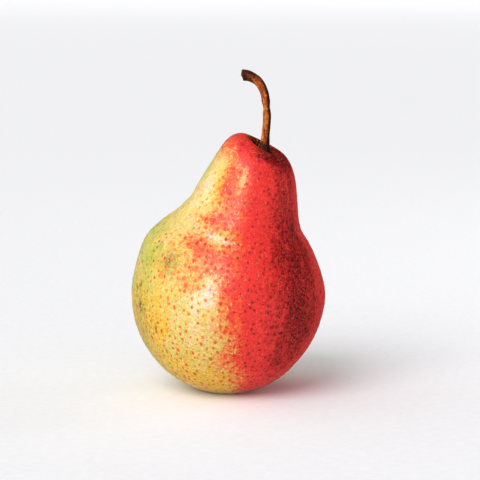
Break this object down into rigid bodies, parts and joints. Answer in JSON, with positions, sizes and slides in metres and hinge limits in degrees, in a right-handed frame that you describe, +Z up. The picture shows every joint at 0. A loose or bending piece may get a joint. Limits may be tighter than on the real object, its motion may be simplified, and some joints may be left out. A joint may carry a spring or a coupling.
{
  "type": "pear",
  "caption": "Ripe dessert pear standing on its base: round belly, leaning neck, curved woody stem and dried calyx.",
  "frame": {"origin": "middle of the flat ring that the fruit rests on, at the level of the surface under it", "axes": "+Z up through the fruit; +X to the side that the neck and the stem lean towards; -Y is the front, with the blush to the right of it and the yellow cheek to the left"},
  "size_m": [0.0718, 0.0714, 0.1194],
  "materials": {
    "skin": "thin waxy skin, yellow-green on one side under a red blush on the other, with small raised lenticels and soft russet at both ends; satin",
    "stem_wood": "dry brown bark, tan on the lit side, lightly ridged along its length, dark and corky at the scar; matt",
    "dried_calyx": "dried sepals, dark brown with greyish edges; matt"
  },
  "bodies": {
    "root": {"fruit": "skin", "stem": "stem_wood", "calyx": "dried_calyx"}
  },
  "joints": []
}
